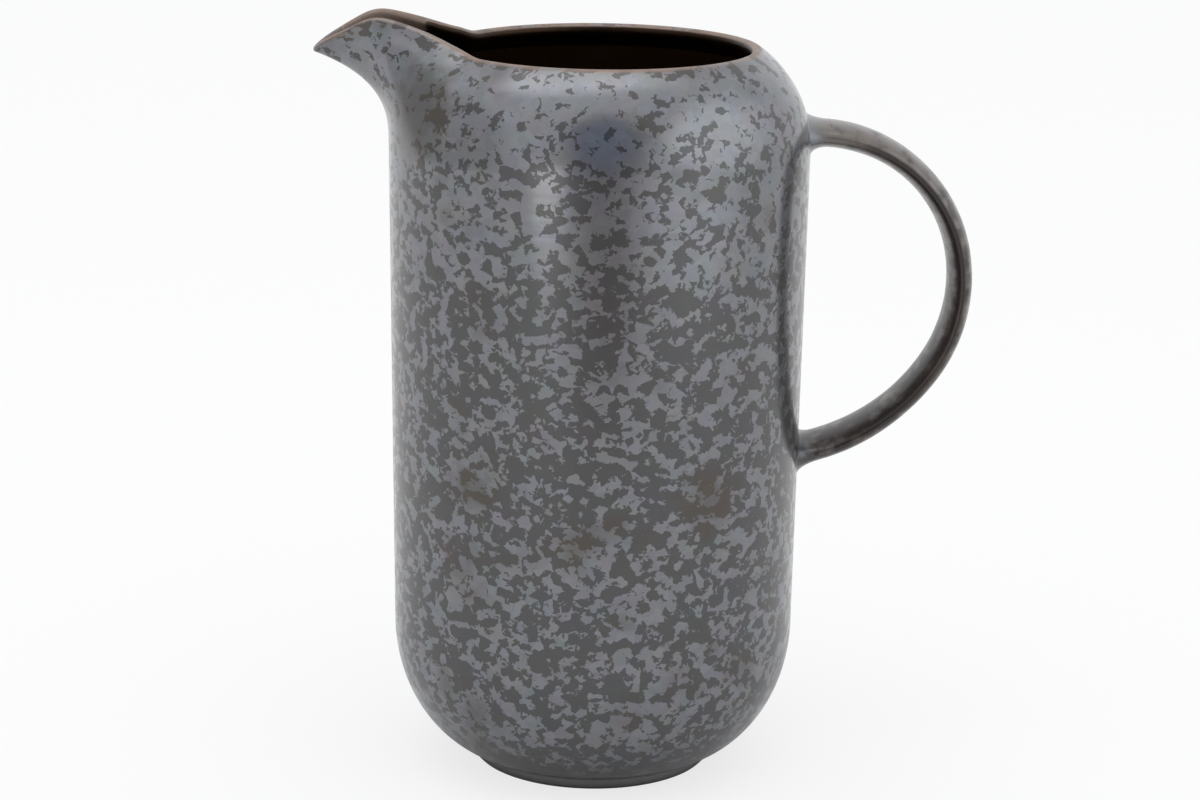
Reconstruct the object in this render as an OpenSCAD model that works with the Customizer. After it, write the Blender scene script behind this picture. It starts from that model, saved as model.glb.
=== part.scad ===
// Porcelain jug: a thrown body with a beak spout, a strap handle, a foot ring and a dark liner glaze.
// Frame: origin at the centre of the standing plane, Z up, handle toward +X, spout toward -X.
// Lengths are in millimetres and angles in degrees.

/* [Body] */
// Outside radius of the wall where the shoulder starts
wall_radius = 57.5; // [55:0.5:62]
// Outside radius of the wall where the bowl starts
bowl_radius = 55.9; // [53:0.1:57]
// Height at which the bowl turns into the wall
bowl_height = 40.2; // [38:0.2:44]
// How far the bowl curves inward
bowl_depth = 29.8; // [27:0.2:36]
// Height at which the wall turns into the shoulder
shoulder_height = 175; // [170:0.5:180]
// Radius of the crest of the rim
rim_radius = 42.5; // [39:0.5:46]
// Height of the crest of the rim
rim_height = 202; // [199:0.1:205]
// Thickness of the clay wall
wall_thickness = 3.8; // [3:0.1:4.4]
// Thickness of the clay floor
floor_thickness = 5; // [4:0.5:7]

/* [Foot] */
// Outside radius of the foot ring
foot_radius = 33.4; // [31:0.2:36]
// Height of the foot ring
foot_height = 2.9; // [2:0.1:4]
// Width of the foot ring
foot_width = 5.4; // [4:0.2:7]
// Bevel on the lower edges of the foot ring
foot_bevel = 0.7; // [0.3:0.1:1]

/* [Spout] */
// How far the tip of the spout stands out from the rim
spout_reach = 34.4; // [30:0.2:37]
// Height of the two side crests above the rim
spout_crest = 8.2; // [7:0.1:9.5]
// Height of the tip of the spout above the rim
spout_tip = 0.4; // [-0.4:0.1:1.2]
// Share of the wall thickness that the tip of the spout lacks
lip_thinning = 0.55; // [0.3:0.05:0.6]
// Half of the sector of the body that the spout takes up
spout_half_angle = 39; // [37:0.5:43]
// Angle over which the beak narrows
beak_angle = 7.2; // [6.4:0.1:8.4]
// Rounding of the beak at its keel
keel_angle = 5.7; // [5:0.1:6.6]

/* [Handle] */
// Width of the strap
strap_width = 19; // [16:0.5:21]
// Thickness of the strap
strap_thickness = 6.6; // [5.6:0.1:7.6]
// Height at which the strap leaves the wall
strap_top = 178.2; // [174:0.1:180]
// Tilt of the strap at its upper end
strap_tilt = 7.6; // [4:0.2:12]
// Bend radius of the upper part of the strap
upper_bend = 40.8; // [38:0.2:43]
// Bend radius of the middle part of the strap
middle_bend = 43.8; // [41:0.2:46]
// Bend radius of the lower part of the strap
lower_bend = 56.2; // [53:0.2:59]
// Size of the strap at its two ends, as a share of its size in the middle
end_size = 1.07; // [1:0.01:1.12]
// Flare of the upper joint where it meets the wall
upper_flare = 2.5; // [1.5:0.1:3.2]
// Flare of the lower joint where it meets the wall
lower_flare = 2.8; // [1.5:0.1:3.2]

/* [Glaze] */
// Thickness of the dark glaze inside
liner_thickness = 0.5; // [0.3:0.05:0.6]

/* [Hidden] */
$fn = 72;
half_wall = wall_thickness / 2;
shoulder_rows = 10;
liner_rows = 8;
bowl_rows = 10;
cap_rows = 6;
spout_columns = 40;
tip_round = 1.7;
section_points = 28;
strap_rows = 14;
collar_rows = 6;
collar_quarter = 76;
joint_stretch = 2;
end_fade = 30;
upper_angle = 85.3;
middle_angle = 46.5;
root_depth = 3.5;
collar_depth = 1.8;
tiny = 0.01;

// Shoulder arc that ends in the middle of the rounded rim.
rim_drop = wall_radius - rim_radius;
rim_rise = rim_height - half_wall - shoulder_height;
rim_span = rim_drop * rim_drop + rim_rise * rim_rise;
shoulder_bend = (rim_span - half_wall * half_wall) / (2 * (rim_drop - half_wall));
shoulder_centre = wall_radius - shoulder_bend;
shoulder_angle = atan2(rim_rise, rim_radius - shoulder_centre);

// Bowl as a quarter of an ellipse that ends on the foot.
bowl_end = acos(1 - (bowl_radius - foot_radius) / bowl_depth);
bowl_drop = (bowl_height - foot_height) / sin(bowl_end);

// Point on the bowl or on the shoulder, a given depth under the outer face.
function bowl_point(part, depth) = [
    bowl_radius - bowl_depth + (bowl_depth - depth) * cos(part * bowl_end),
    bowl_height - (bowl_drop - depth * floor_thickness / wall_thickness) * sin(part * bowl_end)
];
function shoulder_point(part, depth) = [
    shoulder_centre + (shoulder_bend - depth) * cos(part * shoulder_angle),
    shoulder_height + (shoulder_bend - depth) * sin(part * shoulder_angle)
];
// Outside radius at a height above the bowl.
function wall_at(height) =
    let (share = (height - bowl_height) / (shoulder_height - bowl_height))
    height > shoulder_height
        ? shoulder_centre + sqrt(shoulder_bend * shoulder_bend - pow(height - shoulder_height, 2))
        : bowl_radius + (wall_radius - bowl_radius) * share;

// Face of the body from the centre of the floor up to a row of the shoulder.
function face_line(depth, rows) = concat(
    [[0, bowl_point(1, depth)[1]]],
    [for (k = [bowl_rows:-1:0]) bowl_point(k / bowl_rows, depth)],
    [for (k = [0:rows]) shoulder_point(k / shoulder_rows, depth)]
);
function reversed(list) = [for (k = [len(list) - 1:-1:0]) list[k]];

// Rounded crest of the rim between the outer and the inner face.
function rim_cap() = [
    for (k = [1:cap_rows - 1])
        let (turn = shoulder_angle + 180 * k / cap_rows)
        shoulder_point(1, half_wall) + half_wall * [cos(turn), sin(turn)]
];

// Middle of the spout wall: the shoulder, pushed out and lifted more and more toward the lip.
function smooth(value) =
    let (held = max(0, min(1, value)))
    held * held * (3 - 2 * held);
function window(angle, part) =
    let (fade = (0.66 - 0.36 * part) * spout_half_angle)
    smooth((spout_half_angle - abs(angle)) / fade);
function beak(angle, part) =
    let (keel = keel_angle * (2 - part))
    let (spread = beak_angle * (2.4 - 1.4 * part))
    exp((keel - sqrt(angle * angle + keel * keel)) / spread) * window(angle, part);
// Lift of the lip: it rises steadily from the tip, turns over two rounded crests and falls to the rim.
function lip_lift(angle) =
    let (pitch = 0.174 * spout_crest)
    let (rise = spout_tip + pitch * (norm([angle, tip_round]) - tip_round))
    let (fall = 1.67 * spout_crest * exp(-pow(abs(angle) / 17, 1.37)))
    let (bend = 0.16 * spout_crest)
    -bend * ln(exp(-rise / bend) + exp(-fall / bend)) * window(angle, 1);
function spout_middle(angle, part) =
    let (base = shoulder_point(part, half_wall))
    let (radius = base[0] + spout_reach * beak(angle, part) * pow(part, 2.25))
    [-radius * cos(angle), radius * sin(angle), base[1] + lip_lift(angle) * part * part];

// Directions on that surface: along the lip, up the wall and out of the wall.
function unit(vector) = vector / norm(vector);
function along(angle, part) = unit(spout_middle(angle + tiny, part) - spout_middle(angle - tiny, part));
function upward(angle, part) = spout_middle(angle, part + tiny) - spout_middle(angle, part - tiny);
function outward(angle, part) =
    part < tiny ? [-cos(angle), sin(angle), 0] : unit(cross(upward(angle, part), along(angle, part)));
function half_thickness(angle, part) = half_wall * (1 - lip_thinning * beak(angle, part) * part * part);
function outer_point(angle, row) =
    let (part = row / shoulder_rows)
    spout_middle(angle, part) + half_thickness(angle, part) * outward(angle, part);
function inner_point(angle, row, coat) =
    let (part = row / shoulder_rows)
    spout_middle(angle, part) - (half_thickness(angle, part) + coat) * outward(angle, part);

// One slice of the spout, up its outer face, over the lip and down its inner face.
function spout_slice(angle) =
    let (out = outward(angle, 1))
    let (over = cross(along(angle, 1), out))
    let (half = half_thickness(angle, 1))
    concat(
        [for (row = [0:shoulder_rows]) outer_point(angle, row)],
        [for (k = [1:cap_rows - 1])
            spout_middle(angle, 1) + half * (cos(180 * k / cap_rows) * out + sin(180 * k / cap_rows) * over)],
        [for (row = [shoulder_rows:-1:0]) inner_point(angle, row, 0)]
    );
function liner_slice(angle) = concat(
    [for (row = [0:liner_rows]) inner_point(angle, row, 0)],
    [for (row = [liner_rows:-1:0]) inner_point(angle, row, liner_thickness)]
);
spout_angles = [
    for (k = [-spout_columns / 2:spout_columns / 2])
        let (share = k / (spout_columns / 2))
        spout_half_angle * sign(share) * pow(abs(share), 1.7)
];

// Strap handle: three tangent bends in the XZ plane.
strap_start = [wall_radius - root_depth, strap_top];
upper_centre = strap_start + upper_bend * [sin(strap_tilt), -cos(strap_tilt)];
upper_turn = 90 + strap_tilt;
middle_turn = upper_turn - upper_angle;
middle_centre = upper_centre + (upper_bend - middle_bend) * [cos(middle_turn), sin(middle_turn)];
lower_turn = middle_turn - middle_angle;
lower_centre = middle_centre + (middle_bend - lower_bend) * [cos(lower_turn), sin(lower_turn)];
lower_wall = wall_at(lower_centre[1] - lower_bend);
lower_end = -acos((lower_wall - lower_centre[0]) / lower_bend);
handle_top_turn = upper_turn - (root_depth + joint_stretch * upper_flare) / upper_bend * 180 / PI;
handle_bottom_turn = lower_end + joint_stretch * lower_flare / lower_bend * 180 / PI;

// Oval section of the strap.
function strap_section(size, growth) = [
    for (k = [0:section_points - 1])
        let (turn = 360 * k / section_points)
        [(size * strap_width / 2 + growth) * cos(turn), (size * strap_thickness / 2 + growth) * sin(turn)]
];
function on_bend(centre, reach, turn, across) =
    [centre[0] + reach * cos(turn), across, centre[1] + reach * sin(turn)];

// Rings of one bend. The section is larger close to the end of the strap.
function bend_rings(centre, bend, from, to, first, end) = [
    for (k = [first:strap_rows])
        let (turn = from + (to - from) * k / strap_rows)
        let (away = bend * abs(turn - end) * PI / 180)
        let (size = 1 + (end_size - 1) * (1 - smooth(away / end_fade)))
        [for (point = strap_section(size, 0)) on_bend(centre, bend + point[1], turn, point[0])]
];

// Turn at which an arc about the centre meets the outside of the body, found in a few steps.
function wall_turn(centre, reach, across, side, turn, left) =
    let (radius = wall_at(centre[1] + reach * sin(turn)))
    let (next = side * acos((sqrt(radius * radius - across * across) - centre[0]) / reach))
    left == 0 ? next : wall_turn(centre, reach, across, side, next, left - 1);

// Rings of a joint: the strap section grows along a quarter round, lies down on the wall and goes into it.
function collar_ring(centre, bend, from, side, flare, quarter, depth) =
    let (start = strap_section(end_size, 0))
    let (grown = strap_section(end_size, flare * (1 - cos(quarter))))
    [
        for (j = [0:section_points - 1])
            let (reach = bend + grown[j][1])
            let (run = from - wall_turn(centre, bend + start[j][1], start[j][0], side, 90 * side, 6))
            let (turn = wall_turn(centre, reach, grown[j][0], side, 90 * side, 6) + run * (1 - sin(quarter)))
            on_bend(centre, reach, turn + side * depth / bend * 180 / PI, grown[j][0])
    ];
function collar_rings(centre, bend, from, side, flare) = concat(
    [for (k = [0:collar_rows])
        collar_ring(centre, bend, from, side, flare, collar_quarter * k / collar_rows, 0)],
    [collar_ring(centre, bend, from, side, flare, collar_quarter, collar_depth)]
);

// Closed skin over rings that have the same number of points.
// Every quad is split along one diagonal or, when crossed, along the other one.
module skin(rings, crossed = false) {
    count = len(rings[0]);
    last = len(rings) - 1;
    sides = [
        for (k = [0:last - 1])
            for (j = [0:count - 1])
                let (a = k * count + j)
                let (b = k * count + (j + 1) % count)
                let (c = b + count)
                let (d = a + count)
                each crossed ? [[a, d, b], [b, d, c]] : [[a, c, b], [a, d, c]]
    ];
    ends = [
        for (j = [0:ceil(count / 2) - 2])
            let (a = j)
            let (b = j + 1)
            let (c = count - 2 - j)
            let (d = count - 1 - j)
            each concat(
                [[a, b, d], [last * count + a, last * count + d, last * count + b]],
                b < c ? [[b, c, d], [last * count + b, last * count + d, last * count + c]] : []
            )
    ];
    polyhedron(points = [for (ring = rings) each ring], faces = concat(sides, ends), convexity = 6);
}

// Sector that the spout takes out of the body and out of the liner.
module spout_sector() {
    far = 2 * wall_radius;
    translate([0, 0, shoulder_height])
        linear_extrude(height = rim_height)
            polygon([[0, 0], [-far, far * tan(spout_half_angle)], [-far, -far * tan(spout_half_angle)]]);
}

// Body as one filled solid, used to cut the joints to the wall.
module body_core() {
    rotate_extrude($fn = 360)
        polygon(concat(face_line(0, shoulder_rows), [[0, shoulder_point(1, 0)[1]]]));
}

module body() {
    color("LightSteelBlue")
        difference() {
            rotate_extrude()
                polygon(concat(
                    face_line(0, shoulder_rows),
                    rim_cap(),
                    reversed(face_line(wall_thickness, shoulder_rows))
                ));
            spout_sector();
        }
}

module foot_ring() {
    inner = foot_radius - foot_width;
    color("Tan")
        rotate_extrude()
            polygon([
                [inner, foot_height],
                [inner, foot_bevel],
                [inner + foot_bevel, 0],
                [foot_radius - foot_bevel, 0],
                [foot_radius, foot_bevel],
                [foot_radius, foot_height]
            ]);
}

module spout() {
    color("LightSlateGray")
        skin([for (angle = spout_angles) spout_slice(angle)]);
}

module handle() {
    color("SlateGray")
        skin(concat(
            bend_rings(upper_centre, upper_bend, handle_top_turn, middle_turn, 0, handle_top_turn),
            bend_rings(middle_centre, middle_bend, middle_turn, lower_turn, 1, handle_top_turn),
            bend_rings(lower_centre, lower_bend, lower_turn, handle_bottom_turn, 1, handle_bottom_turn)
        ));
}

module upper_handle_joint() {
    color("DimGray")
        difference() {
            skin(reversed(collar_rings(upper_centre, upper_bend, handle_top_turn, 1, upper_flare)));
            body_core();
        }
}

module lower_handle_joint() {
    color("DimGray")
        difference() {
            skin(collar_rings(lower_centre, lower_bend, handle_bottom_turn, -1, lower_flare));
            body_core();
        }
}

module liner_glaze() {
    color("SaddleBrown")
        difference() {
            rotate_extrude()
                polygon(concat(
                    face_line(wall_thickness, liner_rows),
                    reversed(face_line(wall_thickness + liner_thickness, liner_rows))
                ));
            spout_sector();
        }
}

module spout_liner_glaze() {
    color("SaddleBrown")
        skin([for (angle = spout_angles) liner_slice(angle)], crossed = true);
}

body();
foot_ring();
spout();
handle();
upper_handle_joint();
lower_handle_joint();
liner_glaze();
spout_liner_glaze();
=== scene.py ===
# %% [markdown]
# # A glazed porcelain jug
# This lesson dresses a jug that was first built as solids. Every piece below is a finer mesh
# that stands for one of those solids, so the first step loads them.

# %% Load the solids
import math

import bmesh
import bpy
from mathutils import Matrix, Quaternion, Vector, kdtree


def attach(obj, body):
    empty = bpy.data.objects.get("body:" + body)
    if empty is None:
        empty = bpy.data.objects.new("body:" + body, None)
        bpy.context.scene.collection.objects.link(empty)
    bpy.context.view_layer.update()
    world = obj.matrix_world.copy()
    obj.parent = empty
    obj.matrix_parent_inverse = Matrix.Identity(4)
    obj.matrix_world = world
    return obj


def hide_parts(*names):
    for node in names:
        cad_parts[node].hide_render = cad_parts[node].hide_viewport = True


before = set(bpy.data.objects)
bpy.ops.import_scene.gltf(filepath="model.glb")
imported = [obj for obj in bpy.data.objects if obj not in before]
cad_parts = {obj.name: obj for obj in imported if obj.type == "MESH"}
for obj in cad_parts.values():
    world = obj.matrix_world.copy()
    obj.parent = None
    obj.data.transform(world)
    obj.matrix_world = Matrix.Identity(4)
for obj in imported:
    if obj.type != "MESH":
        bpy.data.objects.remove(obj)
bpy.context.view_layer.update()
print("solids:", sorted(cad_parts))

# %% [markdown]
# ## The outline of the jug
# A thrown jug is round, so one outline describes it: a bowl that is part of an ellipse, a wall
# that is nearly straight, and a shoulder that is an arc and ends in a rounded rim. It could be drawn
# by hand as a curve. Formulas are used instead, the same as in the solids, so that both fit.
# Lengths are millimetres here, because they are easier to read, and become metres in the meshes.

# %% Sizes and outline
MM = 0.001
WALL_RADIUS, BOWL_RADIUS, BOWL_HEIGHT, BOWL_DEPTH = 57.5, 55.9, 40.2, 29.8
SHOULDER_HEIGHT, RIM_RADIUS, RIM_HEIGHT = 175.0, 42.5, 202.0
WALL, FLOOR, LINER = 3.8, 5.0, 0.5
FOOT_RADIUS, FOOT_HEIGHT, FOOT_WIDTH, FOOT_BEVEL = 33.4, 2.9, 5.4, 0.7
HALF_WALL = WALL / 2
ROWS, FLOOR_ROWS = 32, 6

rim_drop = WALL_RADIUS - RIM_RADIUS
rim_rise = RIM_HEIGHT - HALF_WALL - SHOULDER_HEIGHT
shoulder_bend = (rim_drop**2 + rim_rise**2 - HALF_WALL**2) / (2 * (rim_drop - HALF_WALL))
shoulder_centre = WALL_RADIUS - shoulder_bend
shoulder_angle = math.atan2(rim_rise, RIM_RADIUS - shoulder_centre)
bowl_end = math.acos(1 - (BOWL_RADIUS - FOOT_RADIUS) / BOWL_DEPTH)
bowl_drop = (BOWL_HEIGHT - FOOT_HEIGHT) / math.sin(bowl_end)


def steps(first, last, count):
    return [first + (last - first) * k / count for k in range(count + 1)]


def smooth(value):
    held = max(0.0, min(1.0, value))
    return held * held * (3 - 2 * held)


def between(first, last, share):
    """Point at a share of the way from the first point to the last."""
    return first[0] + (last[0] - first[0]) * share, first[1] + (last[1] - first[1]) * share


def bowl_point(part, depth):
    turn = part * bowl_end
    drop = bowl_drop - depth * FLOOR / WALL
    radius = BOWL_RADIUS - BOWL_DEPTH + (BOWL_DEPTH - depth) * math.cos(turn)
    return radius, BOWL_HEIGHT - drop * math.sin(turn)


def shoulder_point(part, depth):
    turn = part * shoulder_angle
    bend = shoulder_bend - depth
    return shoulder_centre + bend * math.cos(turn), SHOULDER_HEIGHT + bend * math.sin(turn)


def wall_at(height):
    """Radius of the outer face at a height between the bowl and the rim."""
    if height > SHOULDER_HEIGHT:
        return shoulder_centre + math.sqrt(shoulder_bend**2 - (height - SHOULDER_HEIGHT) ** 2)
    share = (height - BOWL_HEIGHT) / (SHOULDER_HEIGHT - BOWL_HEIGHT)
    return BOWL_RADIUS + (WALL_RADIUS - BOWL_RADIUS) * share


def face_line(depth, top):
    """Outline from the middle of the floor up to a share of the shoulder."""
    floor = bowl_point(1, depth)
    flat = [(radius, floor[1]) for radius in steps(0, floor[0], FLOOR_ROWS)]
    bowl = [bowl_point(part, depth) for part in steps(1, 0, ROWS)]
    wall_top = shoulder_point(0, depth)
    wall = [between(bowl[-1], wall_top, share) for share in steps(0, 1, ROWS)]
    shoulder = [shoulder_point(part, depth) for part in steps(0, top, round(ROWS * top))]
    return flat + bowl[1:] + wall[1:] + shoulder[1:]


print("bend of the shoulder in mm:", round(shoulder_bend, 2))
print("turn of the shoulder in degrees:", round(math.degrees(shoulder_angle), 1))

# %% [markdown]
# ## The finishes
# The outer glaze is a reactive one: while it melts, pale blue grey flakes float up through a dark
# brown grey ground and freeze with sharp, angular edges. Cells with a random value each give the
# angular flakes, clouds of noise gather them, and the rings of the potter's wheel line some of them
# up. The height decides how many there are: most on the shoulder, about half on the wall and few
# just above the foot. An image could be painted for it, but noise has no seams and stays sharp
# close up. All of it is made of shader nodes, so a few helpers come first.

# %% Helpers for node trees
def add(tree, kind, settings=None, **values):
    """New node with settings and inputs. Input i3 is the fourth one, and a socket makes a link."""
    node = tree.nodes.new(kind)
    for name, value in (settings or {}).items():
        setattr(node, name, value)
    for name, value in values.items():
        key = int(name[1:]) if name[0] == "i" and name[1:].isdigit() else name.replace("_", " ")
        socket = node.inputs[key]
        if isinstance(value, bpy.types.NodeSocket):
            tree.links.new(value, socket)
        else:
            socket.default_value = value
    return node


def calc(tree, operation, a, b=0.0):
    return add(tree, "ShaderNodeMath", {"operation": operation}, i0=a, i1=b).outputs[0]


def plus(tree, value, other, share):
    """The value, and a share of the other one added to it."""
    return calc(tree, "ADD", value, calc(tree, "MULTIPLY", other, share))


def vector(tree, operation, a, b):
    return add(tree, "ShaderNodeVectorMath", {"operation": operation}, i0=a, i1=b).outputs[0]


def length(tree, value):
    return add(tree, "ShaderNodeVectorMath", {"operation": "LENGTH"}, i0=value).outputs["Value"]


def along_axis(tree, where, axis):
    return add(tree, "ShaderNodeSeparateXYZ", Vector=where).outputs[axis]


def mix(tree, share, a, b, blend="MIX"):
    settings = {"data_type": "RGBA", "blend_type": blend}
    return add(tree, "ShaderNodeMix", settings, i0=share, i6=a, i7=b).outputs[2]


def ramp(tree, value, low, high):
    """Smooth step from 0 at the low value to 1 at the high one."""
    settings = {"interpolation_type": "SMOOTHSTEP"}
    return add(tree, "ShaderNodeMapRange", settings, Value=value, i1=low, i2=high).outputs[0]


def noise(tree, where, scale, detail=2.0, rough=0.5, output="Fac"):
    values = {"Vector": where, "Scale": scale, "Detail": detail, "Roughness": rough}
    return add(tree, "ShaderNodeTexNoise", **values).outputs[output]


def attribute(tree, name):
    return add(tree, "ShaderNodeAttribute", {"attribute_name": name}).outputs["Fac"]


def emboss(tree, shader, height, strength, distance):
    bump = add(tree, "ShaderNodeBump", Height=height, Strength=strength, Distance=distance)
    tree.links.new(bump.outputs[0], shader.inputs["Normal"])


def new_material(name):
    material = bpy.data.materials.new(name)
    material.use_nodes = True
    tree = material.node_tree
    where = add(tree, "ShaderNodeTexCoord").outputs["Object"]
    return material, tree, tree.nodes["Principled BSDF"], where


print("node helpers ready in Blender", bpy.app.version_string)

# %% Where the flakes are
GRAIN, RINGS = (1000, 1000, 1150), (8, 8, 240)
HALF_GREY, WOBBLE_SCALE, WOBBLE = (0.5, 0.5, 0.5), 0.55, (1.2, 1.2, 1.2)
BIG_CELLS, SMALL_CELLS = 0.38, 0.8
CLOUD_SCALE, CLOUD_DETAIL, CLOUD_ROUGH = 0.27, 2.0, 0.45
DRIFT_SCALE, DRIFT_SHARE = 0.05, 0.3
BARE_LIMIT, COVER_EFFECT, COVER_TOP = 0.85, 0.4, 210
THIN_RAMP, THIN_EFFECT = (0.1, 0.8), 0.09
CREST_FALL = 3.04


def cells(tree, where, scale):
    """Random values, each the same all over one cell."""
    colour = add(tree, "ShaderNodeTexVoronoi", Vector=where, Scale=scale).outputs["Color"]
    return add(tree, "ShaderNodeSeparateColor", Color=colour).outputs


def share_by_height(tree, height, cover):
    """Share of flakes at a height. The cover lists heights in mm with a share each."""
    scaled = add(tree, "ShaderNodeMapRange", Value=height, i1=0.0, i2=COVER_TOP * MM).outputs[0]
    curve = add(tree, "ShaderNodeValToRGB", Fac=scaled)
    stops = curve.color_ramp.elements
    while len(stops) < len(cover):
        stops.new(0.5)
    for stop, (level, amount) in zip(stops, cover):
        stop.position = level / COVER_TOP
        stop.color = (amount, amount, amount, 1)
    return curve.outputs["Color"]


def flake_parts(tree, where, look):
    """The flakes, and the sockets that the colour and the gloss need beside them."""
    grain = vector(tree, "MULTIPLY", where, GRAIN)
    wobble = vector(tree, "SUBTRACT", noise(tree, grain, WOBBLE_SCALE, output="Color"), HALF_GREY)
    bent = vector(tree, "ADD", grain, vector(tree, "MULTIPLY", wobble, WOBBLE))
    big, small = cells(tree, bent, BIG_CELLS), cells(tree, bent, SMALL_CELLS)
    cloud = noise(tree, bent, CLOUD_SCALE, CLOUD_DETAIL, CLOUD_ROUGH)
    ring = noise(tree, vector(tree, "MULTIPLY", where, RINGS), 1.0)
    spot = plus(tree, cloud, big[0], look["big"])
    spot = plus(tree, spot, small[0], look["small"])
    spot = plus(tree, spot, noise(tree, grain, DRIFT_SCALE), DRIFT_SHARE)
    spot = plus(tree, spot, ring, look["ring"])

    height = along_axis(tree, where, "Z")
    near_edge = attribute(tree, "edge")
    thin = ramp(tree, near_edge, *THIN_RAMP)
    bare_limit = BARE_LIMIT + (look["big"] + look["small"] + look["ring"]) / 2
    cover = share_by_height(tree, height, look["cover"])
    limit = plus(tree, plus(tree, bare_limit, cover, -COVER_EFFECT), thin, THIN_EFFECT)
    flake = ramp(tree, calc(tree, "SUBTRACT", spot, limit), -look["soft"], look["soft"])
    crest = plus(tree, 1.0, calc(tree, "SUBTRACT", 1.0, near_edge), -CREST_FALL)
    return {
        "flake": flake,
        "grain": grain,
        "cloud": cloud,
        "ring": ring,
        "random": big[1],
        "height": height,
        "thin": thin,
        "crest": calc(tree, "MAXIMUM", 0.0, crest),
        "inside": attribute(tree, "inside"),
    }


print("cells of the flakes in mm:", round(1 / BIG_CELLS, 1), "and", round(1 / SMALL_CELLS, 1))

# %% Colours of the outer glaze
PALE, GROUND = (0.168, 0.171, 0.184, 1), (0.058, 0.057, 0.0578, 1)
BROWN_GROUND, BROWN_LINE = (0.056, 0.0455, 0.036, 1), (0.155, 0.104, 0.078, 1)
TAN_EDGE, INSIDE = (0.205, 0.128, 0.088, 1), (0.024, 0.0112, 0.005, 1)
SCORCHES = (
    ((0.029, -0.0496, 0.088), 0.019),
    ((-0.036, -0.045, 0.09), 0.017),
    ((-0.05, -0.026, 0.188), 0.024),
)
RANDOM_TINT = (0.93, 0.14)
# Painted light: pale flakes lighter on the shoulder and the spout.
TOP_LIGHT_RAMP, TOP_LIGHT_TINT = (0.17, 0.205), (1.0, 0.13)
# Painted shade: pale flakes darker under the bowl toward the foot.
LOW_SHADE_RAMP, LOW_SHADE_TINT = (0.004, 0.024), (0.7, 0.3)
PATCH_SCALE, PATCH_RAMP = 0.045, (0.56, 0.8)
THIN_BROWN, SCORCH_EDGE, BROWN_IN_PALE = 0.45, 0.012, 0.55
HUE_SCALE, HUE_SWING = 0.14, (0.27, 0.18, 0.27)
WORN_SCALE, WORN_RAMP, WORN = 0.11, (0.36, 0.6), (0.35, 0.55)
RAGGED, TAN_RAMP = 0.7, (0.2, 0.7)
LINE_RAMP, SOAK, SOAK_RAMP = (0.0, 0.5), 0.5, (0.55, 0.8)


def mottled(tree, where, parts, pale, ground):
    """Flakes on the ground, with brown patches and a slow change of hue."""
    grain, height = parts["grain"], parts["height"]
    tone_and_light = plus(tree, RANDOM_TINT[0], parts["random"], RANDOM_TINT[1])
    # Random tone of each cell, with painted light toward the top and painted shade toward the foot.
    for (low, high), (base, rise) in ((TOP_LIGHT_RAMP, TOP_LIGHT_TINT), (LOW_SHADE_RAMP, LOW_SHADE_TINT)):
        tone_and_light = calc(tree, "MULTIPLY", tone_and_light, plus(tree, base, ramp(tree, height, low, high), rise))
    pale = mix(tree, 1.0, pale, tone_and_light, "MULTIPLY")

    brown = ramp(tree, noise(tree, grain, PATCH_SCALE), *PATCH_RAMP)
    brown = calc(tree, "MAXIMUM", brown, calc(tree, "MULTIPLY", parts["thin"], THIN_BROWN))
    for centre, reach in SCORCHES:
        far = length(tree, vector(tree, "SUBTRACT", where, centre))
        far = plus(tree, far, parts["cloud"], SCORCH_EDGE)
        brown = calc(tree, "MAXIMUM", brown, ramp(tree, far, reach, reach / 2))
    ground = mix(tree, brown, ground, BROWN_GROUND)
    pale = mix(tree, calc(tree, "MULTIPLY", brown, BROWN_IN_PALE), pale, BROWN_GROUND)

    hue = vector(tree, "SUBTRACT", noise(tree, grain, HUE_SCALE, output="Color"), HALF_GREY)
    hue = vector(tree, "ADD", vector(tree, "MULTIPLY", hue, HUE_SWING), (1, 1, 1))
    return vector(tree, "MULTIPLY", mix(tree, parts["flake"], ground, pale), hue)


def edged(tree, parts, colour):
    """Adds the tan crest of rim and lip, the brown line behind it and the dark inside."""
    uneven = calc(tree, "SUBTRACT", parts["cloud"], 0.5)
    ragged = plus(tree, parts["crest"], uneven, RAGGED)
    patchy = ramp(tree, noise(tree, parts["grain"], WORN_SCALE), *WORN_RAMP)
    worn = plus(tree, WORN[0], patchy, WORN[1])
    colour = mix(tree, calc(tree, "MULTIPLY", ramp(tree, ragged, *TAN_RAMP), worn), colour, TAN_EDGE)
    colour = mix(tree, ramp(tree, parts["inside"], *LINE_RAMP), colour, BROWN_LINE)
    soaked = plus(tree, parts["inside"], uneven, SOAK)
    return mix(tree, ramp(tree, soaked, *SOAK_RAMP), colour, INSIDE)


print("brown patches with a place of their own:", len(SCORCHES))

# %% [markdown]
# The strap of the handle was dipped with the rest, but the glaze ran thin on it. Its flakes melt into
# a browner grey. A dark line on the inner half of both sides is painted shade and reflection. Close
# to the wall the tones blend into the wall's. A number on the strap's section places the painted
# line, so it follows every bend, which a pattern in space would not.

# %% Tones of the strap
STRAP_PALE, STRAP_GROUND = (0.146, 0.128, 0.117, 1), (0.026, 0.0188, 0.0155, 1)
WALL_BLEND = (0.0572, 0.062)
# Where the painted line of shade and reflection lies on the strap's sides.
SHADE_LINE_SIDE, SHADE_LINE_START = (0.007, 0.0085), (0.064, 0.08)
SHADE_LINE_INNER, SHADE_LINE_OUTER = (-0.75, -0.4), (0.3, 0.0)


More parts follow.
